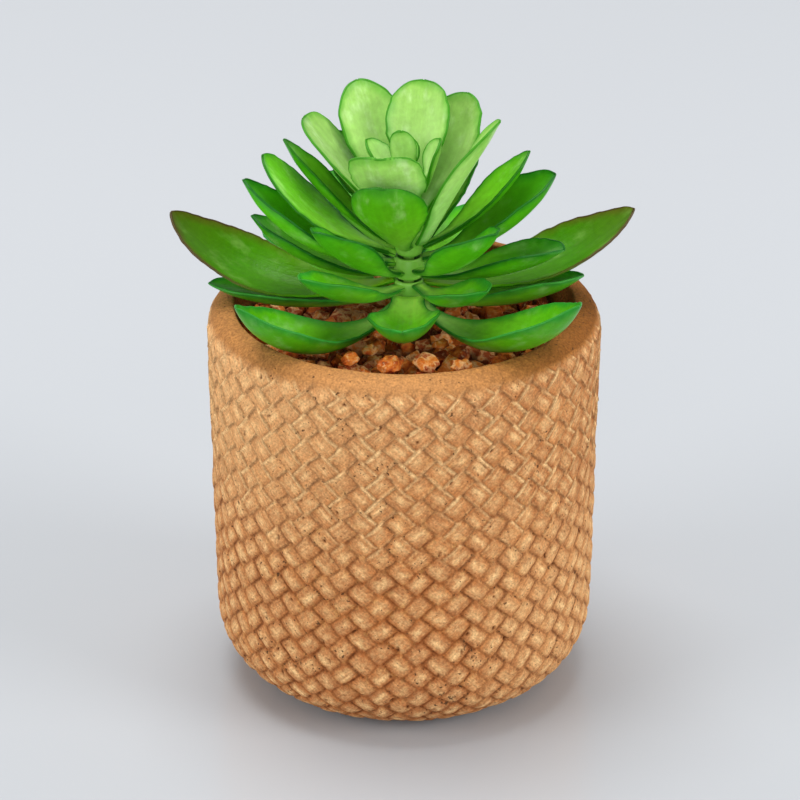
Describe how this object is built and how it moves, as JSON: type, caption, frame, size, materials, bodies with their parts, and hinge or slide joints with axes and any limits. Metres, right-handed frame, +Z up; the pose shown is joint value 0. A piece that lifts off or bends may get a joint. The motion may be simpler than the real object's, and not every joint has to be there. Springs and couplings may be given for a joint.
{
  "type": "potted succulent",
  "caption": "Small moulded succulent with cupped, pointed leaves in tiers on an upright stem, set in gravel in a round cast cement pot with a rounded foot.",
  "frame": {"origin": "The middle of the pot's flat underside, on the pot's own axis, where it stands on the table.", "axes": "+Z is up along the pot's axis and the stem. The front of the plant faces -Y, and +X is to the right when it is looked at from the front."},
  "size_m": [0.0938, 0.08, 0.124],
  "materials": {
    "cast_cement": "matt cast cement, rough and pitted, tan to ochre",
    "filling_plug": "matt, unseen",
    "gravel": "matt, mixed pink, orange and brown grains",
    "loose_stone": "matt, angular",
    "stem_plastic": "satin moulded plastic",
    "leaf_plastic_low": "satin moulded plastic",
    "leaf_plastic_second": "satin moulded plastic",
    "leaf_plastic_long": "satin moulded plastic, brownish tip",
    "leaf_plastic_middle": "satin moulded plastic",
    "leaf_plastic_upper": "satin moulded plastic",
    "leaf_plastic_top": "satin moulded plastic, yellow green",
    "leaf_plastic_crown": "satin moulded plastic, pale green"
  },
  "bodies": {
    "root": {"pot": "cast_cement", "filling": "filling_plug", "gravel_bed": "gravel", "stone_1": "loose_stone", "stone_2": "loose_stone", "stone_3": "loose_stone", "stone_4": "loose_stone", "stone_5": "loose_stone", "stone_6": "loose_stone", "stone_7": "loose_stone", "stone_8": "loose_stone", "stone_9": "loose_stone", "stone_10": "loose_stone", "stem": "stem_plastic", "low_ring": "stem_plastic", "second_ring": "stem_plastic", "middle_ring": "stem_plastic", "upper_ring": "stem_plastic", "top_ring": "stem_plastic", "crown_ring": "stem_plastic", "low_leaf_front_left": "leaf_plastic_low", "low_leaf_front_right": "leaf_plastic_low", "low_leaf_back_right": "leaf_plastic_low", "low_leaf_back": "leaf_plastic_low", "low_leaf_back_left": "leaf_plastic_low", "second_leaf_front": "leaf_plastic_second", "second_leaf_right": "leaf_plastic_second", "second_leaf_left": "leaf_plastic_second", "second_leaf_back_right": "leaf_plastic_second", "second_leaf_back_left": "leaf_plastic_second", "second_leaf_front_right": "leaf_plastic_second", "second_leaf_front_left": "leaf_plastic_second", "long_leaf_left": "leaf_plastic_long", "long_leaf_right": "leaf_plastic_long", "middle_leaf_left_low": "leaf_plastic_middle", "middle_leaf_right_low": "leaf_plastic_middle", "middle_leaf_back": "leaf_plastic_middle", "middle_leaf_back_left": "leaf_plastic_middle", "middle_leaf_front_left": "leaf_plastic_middle", "middle_leaf_front_right": "leaf_plastic_middle", "middle_leaf_left": "leaf_plastic_middle", "middle_leaf_right": "leaf_plastic_middle", "upper_leaf_left": "leaf_plastic_upper", "upper_leaf_right": "leaf_plastic_upper", "upper_leaf_far_left": "leaf_plastic_upper", "upper_leaf_back": "leaf_plastic_upper", "upper_leaf_back_left": "leaf_plastic_upper", "upper_leaf_back_right": "leaf_plastic_upper", "upper_leaf_steep_right": "leaf_plastic_upper", "upper_leaf_front": "leaf_plastic_upper", "top_leaf_left": "leaf_plastic_top", "top_leaf_right": "leaf_plastic_top", "top_leaf_front": "leaf_plastic_top", "top_leaf_back_left": "leaf_plastic_top", "top_leaf_back": "leaf_plastic_top", "crown_leaf_back": "leaf_plastic_crown", "crown_leaf_left": "leaf_plastic_crown", "crown_leaf_front": "leaf_plastic_crown", "crown_leaf_right": "leaf_plastic_crown"}
  },
  "joints": []
}
